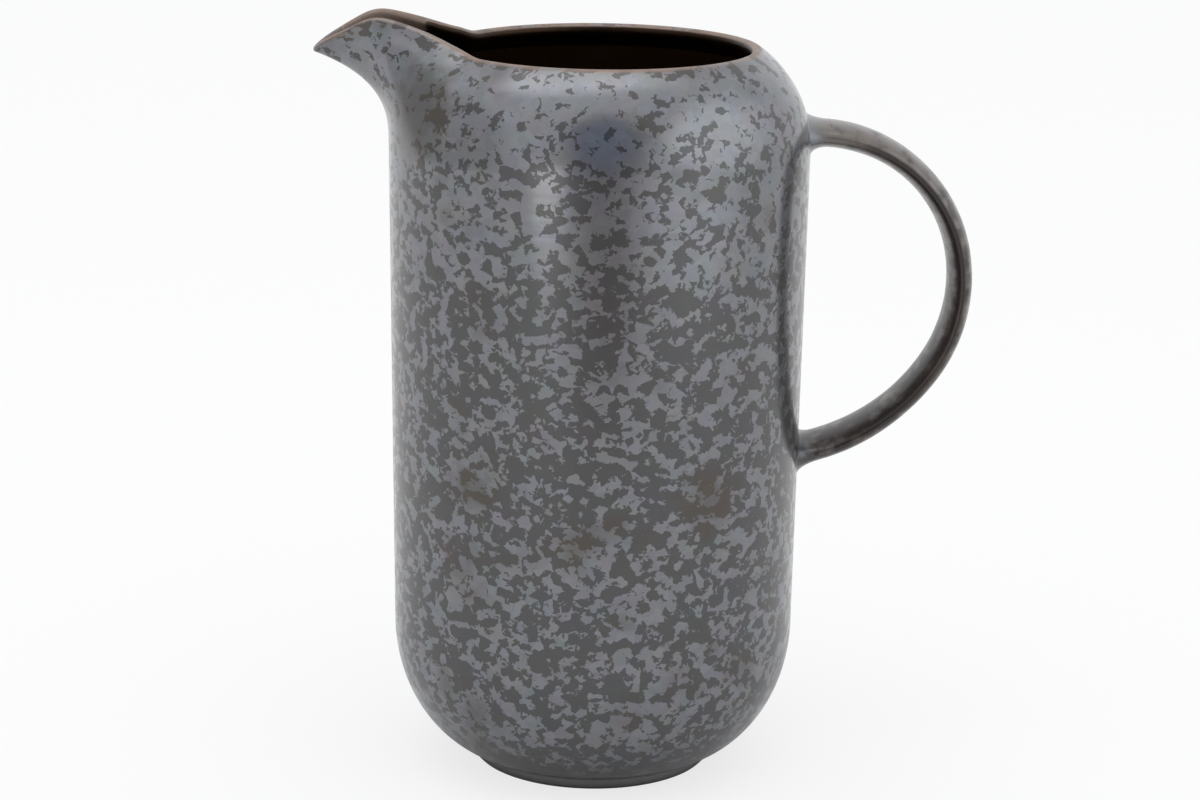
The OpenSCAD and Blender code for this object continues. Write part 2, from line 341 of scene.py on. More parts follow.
def strap_tones(tree, where):
    """Pale tone and ground of the strap, and the mask of the painted shade line."""
    off_axis = length(tree, vector(tree, "MULTIPLY", where, (1, 1, 0)))
    away = ramp(tree, off_axis, *WALL_BLEND)
    pale, ground = mix(tree, away, PALE, STRAP_PALE), mix(tree, away, GROUND, STRAP_GROUND)
    side = calc(tree, "ABSOLUTE", along_axis(tree, where, "Y"))
    line = calc(tree, "MULTIPLY", ramp(tree, side, *SHADE_LINE_SIDE), ramp(tree, off_axis, *SHADE_LINE_START))
    outer = attribute(tree, "outer")
    shade_band = calc(tree, "MULTIPLY", ramp(tree, outer, *SHADE_LINE_INNER), ramp(tree, outer, *SHADE_LINE_OUTER))
    return pale, ground, calc(tree, "MULTIPLY", line, shade_band)


print("the strap's tones begin", round(WALL_BLEND[1] / MM - WALL_RADIUS, 1), "mm off the wall")

# %% [markdown]
# The flakes shine more than the ground, almost like metal, and are a little smoother. The worn rim
# is dull, and the inside is the smoothest. A faint relief shows the rings of the wheel. One function
# makes both glazes from a look, which holds what differs: the cover by height, how much big cells,
# small cells and rings add to the pattern, how soft a flake's edge is, the shine, the roughness and
# the swell of the rings. Two separate trees would be easy to get out of step.

# %% Gloss and the two glazes
DRY_RAMP, DRY_ROUGH = (0.3, 0.9), 0.3
INSIDE_METAL, INSIDE_ROUGH = 0.9, -0.08
FLAKE_ROUGH, FINE_SCALE, FINE_ROUGH = -0.07, 0.3, 0.05
FLAKE_RELIEF, BUMP_STRENGTH, BUMP_DISTANCE = 0.35, 0.5, 0.00004
WALL_LOOK = {
    "cover": (
        *((0, 0.1), (9, 0.22), (22, 0.5), (60, 0.42)),
        *((110, 0.39), (145, 0.43), (175, 0.68), (200, 0.86)),
    ),
    "big": 0.32,
    "small": 0.14,
    "ring": 0.13,
    "soft": 0.014,
    "metal": 0.36,
    "flake_metal": 0.14,
    "specular": 0.8,
    "rough": 0.2,
    "swell": 2.4,
}
STRAP_LOOK = {
    "cover": ((80, 0.2), (115, 0.27), (140, 0.38), (165, 0.65), (182, 0.95)),
    "big": 0.1,
    "small": 0.04,
    "ring": 0.0,
    "soft": 0.2,
    "metal": 0.1,
    "flake_metal": 0.15,
    "specular": 0.5,
    "rough": 0.27,
    "swell": 0.2,
}


def add_gloss(tree, shader, parts, look):
    flake, inside = parts["flake"], parts["inside"]
    dry = ramp(tree, parts["crest"], *DRY_RAMP)
    kept = calc(tree, "SUBTRACT", 1.0, calc(tree, "MAXIMUM", inside, dry))
    metal = calc(tree, "MULTIPLY", plus(tree, look["metal"], flake, look["flake_metal"]), kept)
    metal = plus(tree, metal, inside, INSIDE_METAL)
    fine = noise(tree, parts["grain"], FINE_SCALE)
    rough = plus(tree, plus(tree, look["rough"], flake, FLAKE_ROUGH), dry, DRY_ROUGH)
    rough = plus(tree, plus(tree, rough, fine, FINE_ROUGH), inside, INSIDE_ROUGH)
    tree.links.new(metal, shader.inputs["Metallic"])
    tree.links.new(rough, shader.inputs["Roughness"])
    shader.inputs["Specular IOR Level"].default_value = look["specular"]
    swell = calc(tree, "MULTIPLY", parts["ring"], look["swell"])
    emboss(tree, shader, plus(tree, swell, flake, FLAKE_RELIEF), BUMP_STRENGTH, BUMP_DISTANCE)


def reactive_glaze(name, look, strap=False):
    material, tree, shader, where = new_material(name)
    parts = flake_parts(tree, where, look)
    pale, ground = PALE, GROUND
    if strap:
        pale, ground, line = strap_tones(tree, where)
        # The painted shade line clears the flakes, so the dark ground shows there.
        parts["flake"] = calc(tree, "MULTIPLY", parts["flake"], calc(tree, "SUBTRACT", 1.0, line))
    colour = edged(tree, parts, mottled(tree, where, parts, pale, ground))
    tree.links.new(colour, shader.inputs["Base Color"])
    add_gloss(tree, shader, parts, look)
    return material


outer_glaze = reactive_glaze("outer_glaze", WALL_LOOK)
strap_glaze = reactive_glaze("strap_glaze", STRAP_LOOK, strap=True)
print("glazes:", outer_glaze.name, strap_glaze.name)

# %% [markdown]
# The glaze inside is another one, poured in and emptied out again: almost black, very smooth,
# with a few brown specks. The foot stays bare, because glaze there would stick to the kiln shelf,
# and its lower edge is painted darker as shade where it stands on the floor. Little of either is
# seen, so two plain materials are enough.

# %% The inner glaze and the bare clay
SPECK, SPECK_SCALE, SPECK_RAMP = (0.03, 0.014, 0.006, 1), 420, (0.62, 0.7)
INNER_SPECULAR, INNER_ROUGH, INNER_ROUGH_SCALE, INNER_SWELL_SCALE = 0.25, 0.08, 90, 60
CLAY_DARK, CLAY_PALE = (0.1, 0.095, 0.092, 1), (0.175, 0.167, 0.161, 1)
FOOT_SHADE, FOOT_SHADE_RAMP = (0.045, 0.042, 0.04, 1), (0.0024, 0.0002)
GRIT_SCALE, CLAY_ROUGH, GRIT_ROUGH = 700, 0.4, 0.3

inner_glaze, tree, shader, where = new_material("inner_glaze")
speck = ramp(tree, noise(tree, where, SPECK_SCALE, detail=3.0, rough=0.6), *SPECK_RAMP)
tree.links.new(mix(tree, speck, INSIDE, SPECK), shader.inputs["Base Color"])
shader.inputs["Specular IOR Level"].default_value = INNER_SPECULAR
gloss = plus(tree, INNER_ROUGH, noise(tree, where, INNER_ROUGH_SCALE), INNER_ROUGH)
tree.links.new(gloss, shader.inputs["Roughness"])
emboss(tree, shader, noise(tree, where, INNER_SWELL_SCALE), strength=0.3, distance=0.00008)

bare_clay, tree, shader, where = new_material("bare_clay")
grit = noise(tree, where, GRIT_SCALE, detail=4.0, rough=0.65)
clay = mix(tree, grit, CLAY_DARK, CLAY_PALE)
# Painted shade: the clay darkens toward its lower edge, where it stands on the floor.
foot_shaded = ramp(tree, along_axis(tree, where, "Z"), *FOOT_SHADE_RAMP)
tree.links.new(mix(tree, foot_shaded, clay, FOOT_SHADE), shader.inputs["Base Color"])
tree.links.new(plus(tree, CLAY_ROUGH, grit, GRIT_ROUGH), shader.inputs["Roughness"])
emboss(tree, shader, grit, strength=0.5, distance=0.0001)
print("finishes:", inner_glaze.name, bare_clay.name)

# %% [markdown]
# ## A lathe in Geometry Nodes
# Body, foot ring and inner glaze are all turned shapes, so one node tree makes the three of them.
# It lays out a flat grid, reads the outline point that belongs to each row, and rolls the grid round
# the Z axis. A gap can be left in some rows, which is where the spout is let into the body. The Screw
# modifier could turn an outline too, but it can't leave that gap.

# %% Trees and pieces
SHARP_ANGLE = 35
FLOATS = {"data_type": "FLOAT"}


def new_tree(name, inputs):
    tree = bpy.data.node_groups.new(name, "GeometryNodeTree")
    tree.interface.new_socket("Geometry", in_out="INPUT", socket_type="NodeSocketGeometry")
    for label, kind in inputs.items():
        tree.interface.new_socket(label, in_out="INPUT", socket_type="NodeSocket" + kind)
    tree.interface.new_socket("Geometry", in_out="OUTPUT", socket_type="NodeSocketGeometry")
    return tree, tree.nodes.new("NodeGroupInput").outputs, tree.nodes.new("NodeGroupOutput").inputs


def end_tree(tree, flow, material, made):
    """Smooth shading, real points in place of instances, and the material."""
    flow = add(tree, "GeometryNodeSetShadeSmooth", Geometry=flow).outputs[0]
    flow = add(tree, "GeometryNodeRealizeInstances", Geometry=flow).outputs[0]
    flow = add(tree, "GeometryNodeSetMaterial", Geometry=flow, Material=material).outputs[0]
    tree.links.new(flow, made[0])


def run_tree(piece, tree, values):
    """Runs the tree on the piece and keeps the result as a plain mesh."""
    modifier = piece.modifiers.new(tree.name, "NODES")
    modifier.node_group = tree
    for item in tree.interface.items_tree:
        if item.in_out == "INPUT" and item.name in values:
            modifier[item.identifier] = values[item.name]
    graph = bpy.context.evaluated_depsgraph_get()
    mesh = bpy.data.meshes.new_from_object(piece.evaluated_get(graph))
    piece.modifiers.clear()
    piece.data = mesh


def new_piece(name, points, edges=(), faces=(), material=None, **attributes):
    """Object with points in millimetres and with float attributes on them."""
    mesh = bpy.data.meshes.new(name)
    mesh.from_pydata([[c * MM for c in point] for point in points], list(edges), list(faces))
    for label, values in attributes.items():
        mesh.attributes.new(label, "FLOAT", "POINT").data.foreach_set("value", values)
    if material:
        mesh.materials.append(material)
        mesh.shade_smooth()
    piece = bpy.data.objects.new(name, mesh)
    bpy.context.scene.collection.objects.link(piece)
    return piece


def settle(piece, node):
    """Sharpens the edges, hangs a finished piece under the root and hides the solid it stands for."""
    piece.data.set_sharp_from_angle(angle=math.radians(SHARP_ANGLE))
    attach(piece, "root")
    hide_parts(node)
    size = [round(side / MM, 1) for side in piece.dimensions]
    print(piece.name, "faces:", len(piece.data.polygons), "size in mm:", size)


print("edges stay sharp from", SHARP_ANGLE, "degrees")

# %% The lathe tree
GAP_INPUTS = ("Gap columns", "Gap first", "Gap last")
MERGE_DISTANCE = 1e-6
lathe_inputs = {"Columns": "Int", **dict.fromkeys(GAP_INPUTS, "Float"), "Material": "Material"}
lathe, given, made = new_tree("Lathe", lathe_inputs)
outline_mesh = given["Geometry"]
counted = add(lathe, "GeometryNodeAttributeDomainSize", {"component": "MESH"}, Geometry=outline_mesh)
points = counted.outputs["Point Count"]
grid = add(
    lathe,
    "GeometryNodeMeshGrid",
    Size_X=given["Columns"],
    Size_Y=calc(lathe, "SUBTRACT", points, 1.0),
    Vertices_X=calc(lathe, "ADD", given["Columns"], 1.0),
    Vertices_Y=points,
).outputs["Mesh"]
place = lathe.nodes.new("GeometryNodeInputPosition").outputs[0]
split = add(lathe, "ShaderNodeSeparateXYZ", Vector=place).outputs
middle = calc(lathe, "MULTIPLY", calc(lathe, "SUBTRACT", points, 1.0), 0.5)
row = calc(lathe, "ADD", split["Y"], middle)
turn = calc(lathe, "DIVIDE", calc(lathe, "MULTIPLY", split["X"], 2 * math.pi), given["Columns"])
turn = calc(lathe, "ADD", turn, math.pi)

in_gap = calc(lathe, "LESS_THAN", calc(lathe, "ABSOLUTE", split["X"]), given["Gap columns"])
above = calc(lathe, "GREATER_THAN", row, given["Gap first"])
below = calc(lathe, "LESS_THAN", row, given["Gap last"])
chosen = calc(lathe, "MULTIPLY", in_gap, calc(lathe, "MULTIPLY", above, below))
by_face = {"domain": "FACE"}
flow = add(lathe, "GeometryNodeDeleteGeometry", by_face, Geometry=grid, Selection=chosen).outputs[0]


def from_outline(kind, value):
    """Value of the outline's point that belongs to the row."""
    settings = {"data_type": kind, "domain": "POINT"}
    inputs = {"Geometry": outline_mesh, "Value": value, "Index": calc(lathe, "ROUND", row)}
    return add(lathe, "GeometryNodeSampleIndex", settings, **inputs).outputs[0]


outline = add(lathe, "ShaderNodeSeparateXYZ", Vector=from_outline("FLOAT_VECTOR", place)).outputs
rolled = add(
    lathe,
    "ShaderNodeCombineXYZ",
    X=calc(lathe, "MULTIPLY", outline["X"], calc(lathe, "COSINE", turn)),
    Y=calc(lathe, "MULTIPLY", outline["X"], calc(lathe, "SINE", turn)),
    Z=outline["Z"],
).outputs[0]
for label in ("edge", "inside"):
    stored = add(lathe, "GeometryNodeInputNamedAttribute", FLOATS, Name=label).outputs["Attribute"]
    carried = {"Geometry": flow, "Name": label, "Value": from_outline("FLOAT", stored)}
    flow = add(lathe, "GeometryNodeStoreNamedAttribute", FLOATS, **carried).outputs[0]
flow = add(lathe, "GeometryNodeSetPosition", Geometry=flow, Position=rolled).outputs[0]
flow = add(lathe, "GeometryNodeMergeByDistance", Geometry=flow, Distance=MERGE_DISTANCE).outputs[0]
end_tree(lathe, flow, given["Material"], made)
print("lathe tree nodes:", len(lathe.nodes))


# %% Closing the gap, and turning a piece
def close_gap(piece, line, columns, gap):
    """Fills the ledge and the two side walls of the gap, and turns all faces outward."""
    width, first, last = gap
    shape = bmesh.new()
    shape.from_mesh(piece.data)
    shape.verts.ensure_lookup_table()
    finder = kdtree.KDTree(len(shape.verts))
    for vert in shape.verts:
        finder.insert(vert.co, vert.index)
    finder.balance()

    def at(row, column):
        radius, height = line[row]
        turn = math.pi + 2 * math.pi * column / columns
        place = Vector((radius * math.cos(turn), radius * math.sin(turn), height)) * MM
        return shape.verts[finder.find(place)[1]]

    for column in range(-width, width):
        ledge = ((first, column), (first, column + 1), (last, column + 1), (last, column))
        shape.faces.new([at(*corner) for corner in ledge])
    for row in range((last - first) // 2):
        for side in (-width, width) if width else ():
            low, high = first + row, last - row
            corners = [at(level, side) for level in (low, low + 1, high - 1, high)]
            shape.faces.new(dict.fromkeys(corners))
    bmesh.ops.recalc_face_normals(shape, faces=shape.faces)
    for face in shape.faces:
        face.smooth = True
    shape.to_mesh(piece.data)
    shape.free()


def turned(name, line, columns, material, edge=None, inside=None, gap=(0, 0, 0)):
    points = [(radius, 0, height) for radius, height in line]
    edges = [(k, k + 1) for k in range(len(line) - 1)]
    none = [0.0] * len(line)
    piece = new_piece(name, points, edges, edge=edge or none, inside=inside or none)
    values = {"Columns": columns, "Material": material}
    values.update(zip(GAP_INPUTS, (float(g) for g in gap)))
    run_tree(piece, lathe, values)
    close_gap(piece, line, columns, gap)
    return piece


print("inputs of the lathe:", list(lathe_inputs))

# %% [markdown]
# ## The body
# The outline runs up the outside, over the rim and down the inside. Two numbers ride along on its
# points: how close a point is to the crest of the rim, where the glaze runs thin and turns brown,
# and whether the point is inside, where the coat is dark. There is one column for each degree. A
# Solidify modifier could make the wall, but the floor is thicker, so both faces are drawn.

# %% Turn the body
COLUMNS, CAP_ROWS, SPOUT_HALF_ANGLE = 360, 12, 39
EDGE_REACH, DARK_FROM, DARK_OVER = 7.0, 0.4, 0.6
outer_line = face_line(0, 1)
inner_line = face_line(WALL, 1)
rim_middle = shoulder_point(1, HALF_WALL)
rim_cap = []
for k in range(1, CAP_ROWS):
    rim_turn = shoulder_angle + math.pi * k / CAP_ROWS
    across, up = HALF_WALL * math.cos(rim_turn), HALF_WALL * math.sin(rim_turn)
    rim_cap.append((rim_middle[0] + across, rim_middle[1] + up))
body_line = outer_line + rim_cap + inner_line[::-1]


def near(distance):
    """Falls from 1 on a crest to 0 where the coat is thick again."""
    return max(0.0, 1 - distance / EDGE_REACH)


def darkness(below):
    """Share of dark coat on the inner side, a number of millimetres below the crest."""
    return smooth((below - DARK_FROM) / DARK_OVER)


crest_point = max(body_line, key=lambda point: point[1])
crest_row = body_line.index(crest_point)
body_edge = [near(math.dist(point, crest_point)) for point in body_line[:crest_row]]
body_edge += [1.0] * (len(body_line) - crest_row)
body_inside = [0.0] * (crest_row + 1)
body_inside += [darkness(RIM_HEIGHT - height) for _, height in body_line[crest_row + 1 :]]

gap_first = len(outer_line) - ROWS - 1
body_gap = (SPOUT_HALF_ANGLE, gap_first, len(body_line) - 1 - gap_first)
body = turned("body", body_line, COLUMNS, outer_glaze, body_edge, body_inside, body_gap)
settle(body, "body")

# %% [markdown]
# ## Foot ring and liner
# Both are turned on the same lathe. The liner is a thin skin that lies on the inner face of the body,
# feathers out and stops short of the rim. It is a piece of its own, because it is another glaze.

# %% Turn the foot ring and the liner
FOOT_COLUMNS = 180
foot_inner = FOOT_RADIUS - FOOT_WIDTH
foot_line = [
    (foot_inner, FOOT_HEIGHT),
    (foot_inner, FOOT_BEVEL),
    (foot_inner + FOOT_BEVEL, 0),
    (FOOT_RADIUS - FOOT_BEVEL, 0),
    (FOOT_RADIUS, FOOT_BEVEL),
    (FOOT_RADIUS, FOOT_HEIGHT),
    (foot_inner, FOOT_HEIGHT),
]
foot = turned("foot_ring", foot_line, FOOT_COLUMNS, bare_clay)
settle(foot, "foot_ring")

LINER_TOP, FEATHER, FEATHER_SHARE = 0.8125, 6, 0.96
liner_back = face_line(WALL, LINER_TOP)
liner_front = face_line(WALL + LINER, LINER_TOP)
for k in range(1, FEATHER + 1):
    share = FEATHER_SHARE * (1 - (k - 1) / FEATHER) ** 2
    liner_front[-k] = between(liner_front[-k], liner_back[-k], share)
liner_line = liner_back + liner_front[::-1]
gap_first = len(liner_back) - 1 - round(ROWS * LINER_TOP)
liner_gap = (SPOUT_HALF_ANGLE, gap_first, len(liner_line) - 1 - gap_first)
liner = turned("liner_glaze", liner_line, COLUMNS, inner_glaze, gap=liner_gap)
settle(liner, "liner_glaze")

# %% [markdown]
# ## The spout
# The spout is the shoulder again, pushed out and lifted more and more toward the lip. In plan the push
# falls off quickly on both sides, which makes a beak. The lip rises steadily from the tip, turns over
# two rounded crests and falls to the rim. The wall is laid on both sides of that middle surface, along
# its normal, and thins toward the tip. It could be sculpted, but formulas keep it the same as the
# solid and both sides alike.

# %% The middle surface of the spout
REACH, CREST, TIP, THINNING = 34.4, 8.2, 0.4, 0.55
BEAK_ANGLE, KEEL_ANGLE, TIP_ROUND = 7.2, 5.7, 1.7
WINDOW_LOW, WINDOW_LOSS = 0.66, 0.36
SPREAD_LOW, SPREAD_LOSS, PUSH_POWER = 2.4, 1.4, 2.25
LIP_PITCH, LIP_BEND = 0.174 * CREST, 0.16 * CREST
FALL_HEIGHT, FALL_ANGLE, FALL_POWER = 1.67 * CREST, 17, 1.37
TINY = 0.01


def window(angle, part):
    """Falls to 0 at both sides of the spout, where it meets the body."""
    side = (WINDOW_LOW - WINDOW_LOSS * part) * SPOUT_HALF_ANGLE
    return smooth((SPOUT_HALF_ANGLE - abs(angle)) / side)


def beak(angle, part):
    keel = KEEL_ANGLE * (2 - part)
    spread = BEAK_ANGLE * (SPREAD_LOW - SPREAD_LOSS * part)
    return math.exp((keel - math.hypot(angle, keel)) / spread) * window(angle, part)


def lip_lift(angle):
    rise = TIP + LIP_PITCH * (math.hypot(angle, TIP_ROUND) - TIP_ROUND)
    fall = FALL_HEIGHT * math.exp(-((abs(angle) / FALL_ANGLE) ** FALL_POWER))
    lower = -LIP_BEND * math.log(math.exp(-rise / LIP_BEND) + math.exp(-fall / LIP_BEND))
    return lower * window(angle, 1)


def spout_middle(angle, part):
    radius, height = shoulder_point(part, HALF_WALL)
    radius += REACH * beak(angle, part) * max(part, 0) ** PUSH_POWER
    height += lip_lift(angle) * part * part
    around = math.radians(angle)
    return Vector((-radius * math.cos(around), radius * math.sin(around), height))


def along(angle, part):
    return (spout_middle(angle + TINY, part) - spout_middle(angle - TINY, part)).normalized()


def outward(angle, part):
    if part < TINY:
        return Vector((-math.cos(math.radians(angle)), math.sin(math.radians(angle)), 0))
    up = spout_middle(angle, part + TINY) - spout_middle(angle, part - TINY)
    return up.cross(along(angle, part)).normalized()


def half_thickness(angle, part):
    return HALF_WALL * (1 - THINNING * beak(angle, part) * part * part)


print("tip of the middle surface in mm:", [round(side, 1) for side in spout_middle(0, 1)])

# %% Skin the spout and its liner
SIDE_COLUMNS, CROWDING = 80, 1.7
THROAT_RADIUS, THROAT_FADE, CHANNEL_DARKNESS = 50.5, 3, 0.4


def skin(name, rings, material, **attributes):
    """Closed mesh over rings of equally many points, with both ends filled."""
    count = len(rings[0])
    last = (len(rings) - 1) * count
    faces = []
    for k in range(len(rings) - 1):
        for j in range(count):
            a, b = k * count + j, k * count + (j + 1) % count
            faces.append((a, a + count, b + count, b))
    for j in range(count // 2 - 1):
        faces.append((j, j + 1, count - 2 - j, count - 1 - j))
        faces.append(tuple(last + i for i in (count - 1 - j, count - 2 - j, j + 1, j)))
    return new_piece(name, [p for ring in rings for p in ring], (), faces, material, **attributes)


parts = steps(0, 1, ROWS)
liner_rows = round(ROWS * LINER_TOP) + 1
feather = [max(0.0, 1 - (liner_rows - 1 - k) / FEATHER) for k in range(liner_rows)]
coats = [LINER * (1 - FEATHER_SHARE * share**2) for share in feather]
shares = [k / SIDE_COLUMNS for k in range(-SIDE_COLUMNS, SIDE_COLUMNS + 1)]
rings, edge, inside, liner_rings = [], [], [], []
for angle in [SPOUT_HALF_ANGLE * math.copysign(abs(s) ** CROWDING, s) for s in shares]:
    normals = [outward(angle, part) for part in parts]
    middles = [spout_middle(angle, part) for part in parts]
    halves = [half_thickness(angle, part) for part in parts]
    over = along(angle, 1).cross(normals[-1])
    outer = [m + h * n for m, h, n in zip(middles, halves, normals)]
    inner = [m - h * n for m, h, n in zip(middles, halves, normals)]
    cap = []
    for k in range(1, CAP_ROWS):
        side = math.pi * k / CAP_ROWS
        cap.append(middles[-1] + halves[-1] * (math.cos(side) * normals[-1] + math.sin(side) * over))
    ring = outer + cap + inner[::-1]
    rings.append(ring)
    top = max(cap, key=lambda p: p.z)
    turned_in = len(outer) + cap.index(top)
    edge += [near((p - top).length) for p in ring[:turned_in]]
    edge += [1.0] * (len(ring) - turned_in)
    for k, p in enumerate(ring):
        below = darkness(top.z - p.z) if k > turned_in else 0.0
        throat = smooth((THROAT_RADIUS - math.hypot(p.x, p.y)) / THROAT_FADE)
        inside.append(below * (CHANNEL_DARKNESS + (1 - CHANNEL_DARKNESS) * throat))
    front = [m - (h + c) * n for m, h, c, n in zip(middles, halves, coats, normals)]
    liner_rings.append(inner[:liner_rows] + front[::-1])

spout = skin("spout", rings, outer_glaze, edge=edge, inside=inside)
settle(spout, "spout")
spout_liner = skin("spout_liner_glaze", liner_rings, inner_glaze)
settle(spout_liner, "spout_liner_glaze")

# %% [markdown]
# ## The handle
# The handle is a flat strap of clay that was pulled, bent into a loop and stuck on with slip. Its middle
# line is three arcs that run into each other, and Geometry Nodes sweeps an oval section along it. A number
# on each point of the line says how large the section is there: it grows a little toward both ends.
# A curve with a bevel could do it too, but the tree also hands the section's number to the mesh.

# %% The middle line and the section
STRAP_WIDTH, STRAP_THICKNESS, STRAP_TOP, STRAP_TILT = 19.0, 6.6, 178.2, 7.6
BENDS = (40.8, 43.8, 56.2)
UPPER_ANGLE, MIDDLE_ANGLE = 85.3, 46.5
ROOT_DEPTH, COLLAR_DEPTH, UPPER_FLARE, LOWER_FLARE = 3.5, 1.8, 2.5, 2.8
JOINT_STRETCH, END_SIZE, END_FADE = 2.0, 1.07, 30.0
ARC_STEPS, SECTION_POINTS = 60, 56


def on_circle(centre, radius, degrees):
    turn = math.radians(degrees)
    return centre[0] + radius * math.cos(turn), centre[1] + radius * math.sin(turn)


turns = [90 + STRAP_TILT]
turns += [turns[0] - UPPER_ANGLE, turns[0] - UPPER_ANGLE - MIDDLE_ANGLE]
centres = [on_circle((WALL_RADIUS - ROOT_DEPTH, STRAP_TOP), -BENDS[0], turns[0])]
centres.append(on_circle(centres[0], BENDS[0] - BENDS[1], turns[1]))
centres.append(on_circle(centres[1], BENDS[1] - BENDS[2], turns[2]))
lower_wall = wall_at(centres[2][1] - BENDS[2])
lower_end = -math.degrees(math.acos((lower_wall - centres[2][0]) / BENDS[2]))
handle_top = turns[0] - math.degrees((ROOT_DEPTH + JOINT_STRETCH * UPPER_FLARE) / BENDS[0])
handle_bottom = lower_end + math.degrees(JOINT_STRETCH * LOWER_FLARE / BENDS[2])


def section(size=1.0, growth=0.0):
    """Oval of the strap: points as (across, deep), where deep is away from the fingers."""
    across, deep = size * STRAP_WIDTH / 2 + growth, size * STRAP_THICKNESS / 2 + growth
    turns = [2 * math.pi * k / SECTION_POINTS for k in range(SECTION_POINTS)]
    return [(across * math.cos(turn), deep * math.sin(turn)) for turn in turns]


path, sizes = [], []
arcs = ((handle_top, turns[1]), (turns[1], turns[2]), (turns[2], handle_bottom))
for centre, bend, (first, last) in zip(centres, BENDS, arcs):
    for turn in steps(first, last, ARC_STEPS)[bool(path) :]:
        path.append(on_circle(centre, bend, turn))
        away = bend * math.radians(abs(turn - (handle_bottom if bend == BENDS[2] else handle_top)))
        sizes.append(1 + (END_SIZE - 1) * (1 - smooth(away / END_FADE)))
print("middle line points:", len(path), "section points:", len(section()))

# %% Sweep the strap
sweep, given, made = new_tree("Strap sweep", {"Section": "Object", "Material": "Material"})
line = add(sweep, "GeometryNodeMeshToCurve", Mesh=given["Geometry"]).outputs[0]
free = {"mode": "FREE"}
line = add(sweep, "GeometryNodeSetCurveNormal", free, Curve=line, Normal=(0, 1, 0)).outputs[0]
shape = add(sweep, "GeometryNodeObjectInfo", Object=given["Section"]).outputs["Geometry"]
shape = add(sweep, "GeometryNodeMeshToCurve", Mesh=shape).outputs[0]
size = add(sweep, "GeometryNodeInputNamedAttribute", FLOATS, Name="size").outputs["Attribute"]
inputs = {"Curve": line, "Profile_Curve": shape, "Scale": size, "Fill_Caps": True}
flow = add(sweep, "GeometryNodeCurveToMesh", **inputs).outputs[0]
end_tree(sweep, flow, given["Material"], made)

ring = section()
loop = [(k, (k + 1) % len(ring)) for k in range(len(ring))]
outer_share = [2 * deep / STRAP_THICKNESS for _, deep in ring]
section_piece = new_piece("section", [(x, y, 0) for x, y in ring], loop, outer=outer_share)
links = [(k, k + 1) for k in range(len(path) - 1)]
handle = new_piece("handle", [(x, 0, z) for x, z in path], links, size=sizes)
run_tree(handle, sweep, {"Section": section_piece, "Material": strap_glaze})
bpy.data.objects.remove(section_piece)
settle(handle, "handle")

# %% [markdown]
# ## The two joints
# Slip fills the corner between strap and wall and is wiped round with a finger. Each joint starts as the
# strap section and grows along a quarter round. Every point of the section runs on until it meets
# the wall, so the joint lies down on the round of the body all the way about. A Boolean and a bevel
# could round the corner too, but they leave uneven faces.

# %% Skin the joints
QUARTER_END, QUARTER_STEPS, WALL_TRIES = 87, 24, 8


def wall_turn(centre, reach, across, side):
    """Turn at which an arc about the centre meets the outer face of the body."""
    turn = side * 90.0
    for _ in range(WALL_TRIES):
        radius = wall_at(on_circle(centre, reach, turn)[1])
        run = math.sqrt(radius**2 - across**2) - centre[0]
        turn = side * math.degrees(math.acos(run / reach))
    return turn


def collar(name, centre, bend, first, side, flare):
    stations = [(turn, 0.0) for turn in steps(0, math.radians(QUARTER_END), QUARTER_STEPS)]
    stations.append((stations[-1][0], COLLAR_DEPTH))
    oval = section(END_SIZE)
    start = [first - wall_turn(centre, bend + deep, across, side) for across, deep in oval]
    rings = []
    for quarter, depth in stations:
        ring = []
        for (across, deep), run in zip(section(END_SIZE, flare * (1 - math.cos(quarter))), start):
            turn = wall_turn(centre, bend + deep, across, side) + run * (1 - math.sin(quarter))
            x, z = on_circle(centre, bend + deep, turn + side * math.degrees(depth / bend))
            ring.append((x, across, z))
        rings.append(ring)
    if side > 0:
        rings.reverse()
    settle(skin(name, rings, strap_glaze, outer=outer_share * len(rings)), name)


collar("upper_handle_joint", centres[0], BENDS[0], handle_top, 1, UPPER_FLARE)
collar("lower_handle_joint", centres[2], BENDS[2], handle_bottom, -1, LOWER_FLARE)

# %% [markdown]
# ## The studio
# The jug stands in a bright white room, on a plain pale floor that keeps its soft shadow. The camera
# sees the floor nearly white, and so does the gloss of the glaze, except close to the foot. A white
# background alone would lose the shadow.

# %% Floor
WHITE, FLOOR_GREY, FLOOR_SIZE, FLOOR_ROUGH = (1, 1, 1, 1), (0.85, 0.85, 0.85, 1), 8, 0.9
WHITENESS, WHITE_FROM = 0.75, (0.05, 0.3)


def plane(name, width, height, place, facing):
    """A flat piece of the stage with a material of its own."""
    mesh = bpy.data.meshes.new(name)
    w, h = width / 2, height / 2
    mesh.from_pydata([(-w, -h, 0), (w, -h, 0), (w, h, 0), (-w, h, 0)], [], [(0, 1, 2, 3)])
    piece = bpy.data.objects.new(name, mesh)
    bpy.context.scene.collection.objects.link(piece)
    piece.location = place
    piece.rotation_euler = Vector(facing).to_track_quat("Z", "Y").to_euler()
    material, tree, shader, where = new_material(name)
    mesh.materials.append(material)
    return piece, tree, shader, where


def show_mix(tree, share, first, second):
    """Makes the surface a mix of two shaders."""
    shown = add(tree, "ShaderNodeMixShader", i0=share, i1=first, i2=second).outputs[0]
    tree.links.new(shown, tree.nodes["Material Output"].inputs["Surface"])


